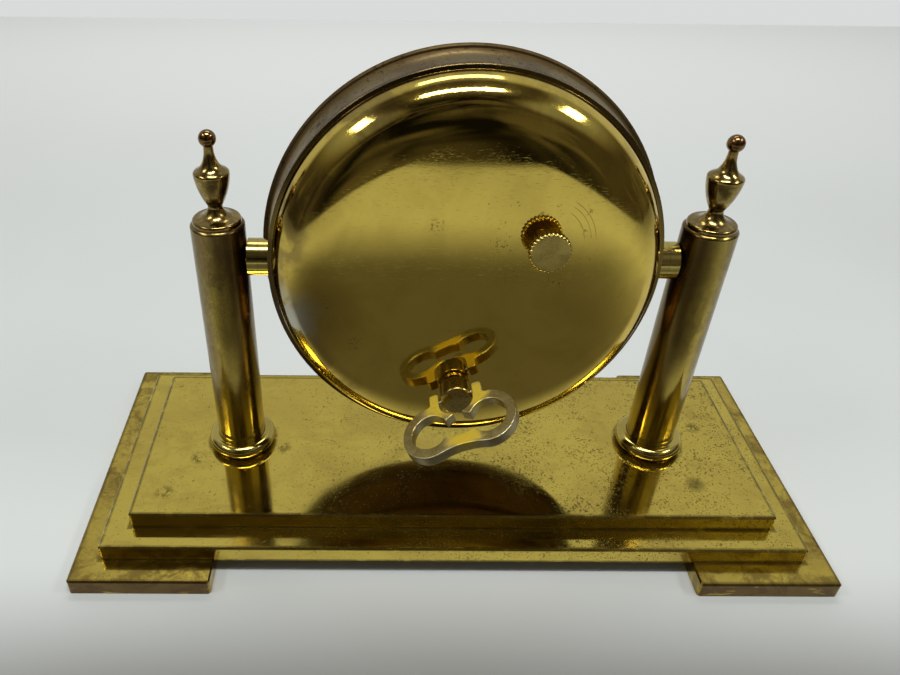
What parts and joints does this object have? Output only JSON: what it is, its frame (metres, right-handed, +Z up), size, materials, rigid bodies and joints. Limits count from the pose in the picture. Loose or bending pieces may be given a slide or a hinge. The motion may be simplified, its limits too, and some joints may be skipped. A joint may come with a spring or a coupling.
{
  "type": "desk clock",
  "caption": "Round brass desk clock in a tilting drum hung between two finial-topped columns on a stepped base, wound and set from its domed back.",
  "frame": {"origin": "on the table, under the middle of the base", "axes": "+X to the right seen from the dial side, +Y to the back with the key and the setting knob, +Z up"},
  "size_m": [0.2, 0.086, 0.1247],
  "materials": {
    "base_brass": "aged polished brass, flecked",
    "column_brass": "aged polished brass, mottled",
    "pale_brass": "polished pale brass",
    "finial_brass": "tarnished brass",
    "case_brass": "aged polished brass",
    "band_brass": "tarnished brass",
    "dial_card": "matt cream enamel paint",
    "hand_black": "black",
    "clear_glass": "clear, domed",
    "movement_brass": "satin brass",
    "steel": "bright steel",
    "blue_steel": "tempered steel",
    "key_metal": "worn plating over brass"
  },
  "bodies": {
    "base": {"foot_left": "base_brass", "foot_right": "base_brass", "lower_plate": "base_brass", "upper_plate": "base_brass", "foot_screws": "steel", "column_screws": "steel", "column_left": "column_brass", "column_right": "column_brass", "collar_left": "pale_brass", "collar_right": "pale_brass", "finial_left": "finial_brass", "finial_right": "finial_brass"},
    "drum": {"case_band": "band_brass", "back_cover": "case_brass", "bezel": "band_brass", "glass": "clear_glass", "dial": "dial_card", "trunnion_left": "pale_brass", "trunnion_right": "pale_brass", "trunnion_washers": "pale_brass", "trunnion_nuts": "movement_brass", "front_plate": "movement_brass", "back_plate": "movement_brass", "pillars": "movement_brass", "pillar_nuts": "movement_brass", "frame_feet": "movement_brass", "frame_screws": "steel", "click_screw": "steel", "click_spring": "blue_steel", "hairspring": "blue_steel"},
    "winding": {"barrel_arbor": "steel", "ratchet_wheel": "steel", "key_hub": "case_brass", "key_pin": "steel"},
    "bow": {"key_bow": "key_metal"},
    "ratchet_click": {"click": "steel"},
    "going_barrel": {"barrel": "movement_brass", "barrel_cover": "movement_brass", "mainspring": "blue_steel"},
    "intermediate": {"intermediate_wheel": "movement_brass", "intermediate_pinion": "steel"},
    "centre": {"centre_wheel": "movement_brass", "centre_pinion": "steel"},
    "third": {"third_wheel": "movement_brass", "third_pinion": "steel"},
    "fourth": {"fourth_wheel": "movement_brass", "fourth_pinion": "steel"},
    "escape": {"escape_wheel": "movement_brass", "escape_pinion": "steel"},
    "pallets": {"pallet_lever": "steel"},
    "balance": {"balance_wheel": "movement_brass", "balance_staff": "steel"},
    "minute_display": {"cannon_pinion": "movement_brass", "minute_hand": "hand_black"},
    "hour_display": {"hour_wheel": "movement_brass", "hour_hand": "hand_black"},
    "reduction": {"minute_wheel": "movement_brass"},
    "setting": {"set_arbor": "steel", "set_knob": "case_brass"}
  },
  "joints": [
    {"name": "drum_tilt", "type": "hinge", "parent": "base", "child": "drum", "pos_m": [0, 0, 0.0759], "axis": [1, 0, 0], "continuous": true},
    {"name": "winding_turn", "type": "hinge", "parent": "drum", "child": "winding", "pos_m": [0.00134, 0.00297, 0.04766], "axis": [0, 0.9945, 0.1045], "continuous": true},
    {"name": "bow_fold", "type": "hinge", "parent": "winding", "child": "bow", "pos_m": [0.00134, 0.02201, 0.04966], "axis": [-0.9107, -0.0432, 0.4108], "range_deg": [-94, 86]},
    {"name": "click_lift", "type": "hinge", "parent": "drum", "child": "ratchet_click", "pos_m": [-0.00275, 0.00217, 0.0553], "axis": [0, 0.9945, 0.1045], "range_deg": [0, 10], "stiffness_Nm_per_rad": 0.0005, "springref_deg": -5.73, "deforming": ["click_spring"]},
    {"name": "fourth_turn", "type": "hinge", "parent": "drum", "child": "fourth", "pos_m": [0.00573, -0.00158, 0.0909], "axis": [0, 0.9945, 0.1045], "continuous": true},
    {"name": "third_turn", "type": "hinge", "parent": "drum", "child": "third", "pos_m": [0.01052, -0.00064, 0.08194], "axis": [0, 0.9945, 0.1045], "continuous": true},
    {"name": "centre_turn", "type": "hinge", "parent": "drum", "child": "centre", "pos_m": [0, 0, 0.0759], "axis": [0, 0.9945, 0.1045], "continuous": true},
    {"name": "intermediate_turn", "type": "hinge", "parent": "drum", "child": "intermediate", "pos_m": [-0.00451, 0.00139, 0.06272], "axis": [0, 0.9945, 0.1045], "continuous": true},
    {"name": "barrel_turn", "type": "hinge", "parent": "drum", "child": "going_barrel", "pos_m": [0.00134, 0.00297, 0.04766], "axis": [0, 0.9945, 0.1045], "continuous": true},
    {"name": "escape_turn", "type": "hinge", "parent": "drum", "child": "escape", "pos_m": [-0.00389, -0.00172, 0.09224], "axis": [0, 0.9945, 0.1045], "continuous": true},
    {"name": "pallet_rock", "type": "hinge", "parent": "drum", "child": "pallets", "pos_m": [-0.00674, -0.00223, 0.09715], "axis": [0, 0.9945, 0.1045], "range_deg": [-3, 3]},
    {"name": "balance_swing", "type": "hinge", "parent": "drum", "child": "balance", "pos_m": [-0.01615, -0.00237, 0.09847], "axis": [0, 0.9945, 0.1045], "range_deg": [-135, 135], "stiffness_Nm_per_rad": 0.000024, "deforming": ["hairspring"]},
    {"name": "setting_turn", "type": "hinge", "parent": "drum", "child": "setting", "pos_m": [-0.01676, -0.00107, 0.08604], "axis": [0, 0.9945, 0.1045], "continuous": true},
    {"name": "reduction_turn", "type": "hinge", "parent": "drum", "child": "reduction", "pos_m": [-0.00743, -0.00064, 0.08195], "axis": [0, 0.9945, 0.1045], "continuous": true},
    {"name": "minute_turn", "type": "hinge", "parent": "drum", "child": "minute_display", "pos_m": [0, 0, 0.0759], "axis": [0, 0.9945, 0.1045], "continuous": true},
    {"name": "hour_turn", "type": "hinge", "parent": "drum", "child": "hour_display", "pos_m": [0, 0, 0.0759], "axis": [0, 0.9945, 0.1045], "continuous": true}
  ],
  "couplings": [
    {"joint": "third_turn", "follows": "fourth_turn", "ratio": -0.13333},
    {"joint": "centre_turn", "follows": "fourth_turn", "ratio": 0.016667},
    {"joint": "intermediate_turn", "follows": "fourth_turn", "ratio": -0.0027778},
    {"joint": "barrel_turn", "follows": "fourth_turn", "ratio": 0.00046296},
    {"joint": "escape_turn", "follows": "fourth_turn", "ratio": -8},
    {"joint": "reduction_turn", "follows": "setting_turn", "ratio": -0.41667},
    {"joint": "minute_turn", "follows": "setting_turn", "ratio": 1.25},
    {"joint": "hour_turn", "follows": "setting_turn", "ratio": 0.10417}
  ]
}
